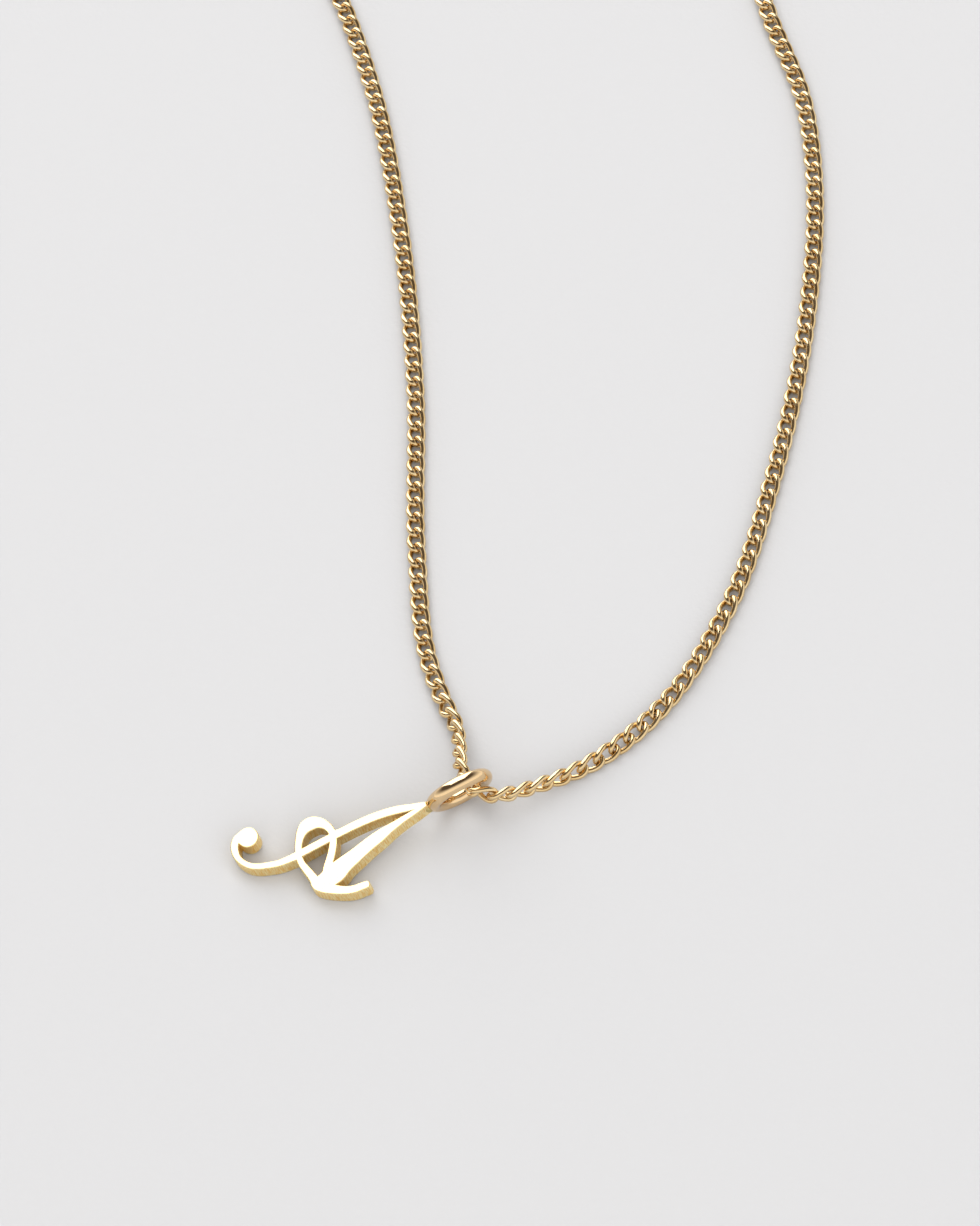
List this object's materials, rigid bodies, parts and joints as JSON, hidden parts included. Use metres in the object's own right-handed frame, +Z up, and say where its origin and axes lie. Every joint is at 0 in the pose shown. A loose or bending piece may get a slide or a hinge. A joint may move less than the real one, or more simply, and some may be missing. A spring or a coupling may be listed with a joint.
{
  "type": "initial pendant necklace",
  "caption": "Cast script initial on a soldered ring, threaded on a fine curb chain that lies as a closed loop with a ring clasp.",
  "frame": {"origin": "middle of the neck loop's wide part, on the surface that the necklace lies on", "axes": "+X to the right and +Y away from the pendant, both along the surface, +Z up out of it"},
  "size_m": [0.0751, 0.1824, 0.0047],
  "materials": {
    "pendant_gold": "polished yellow gold",
    "chain_gold": "polished champagne gold"
  },
  "bodies": {
    "root": {"pendant": "pendant_gold", "chain": "chain_gold", "clasp": "chain_gold", "end_ring": "chain_gold"}
  },
  "joints": []
}
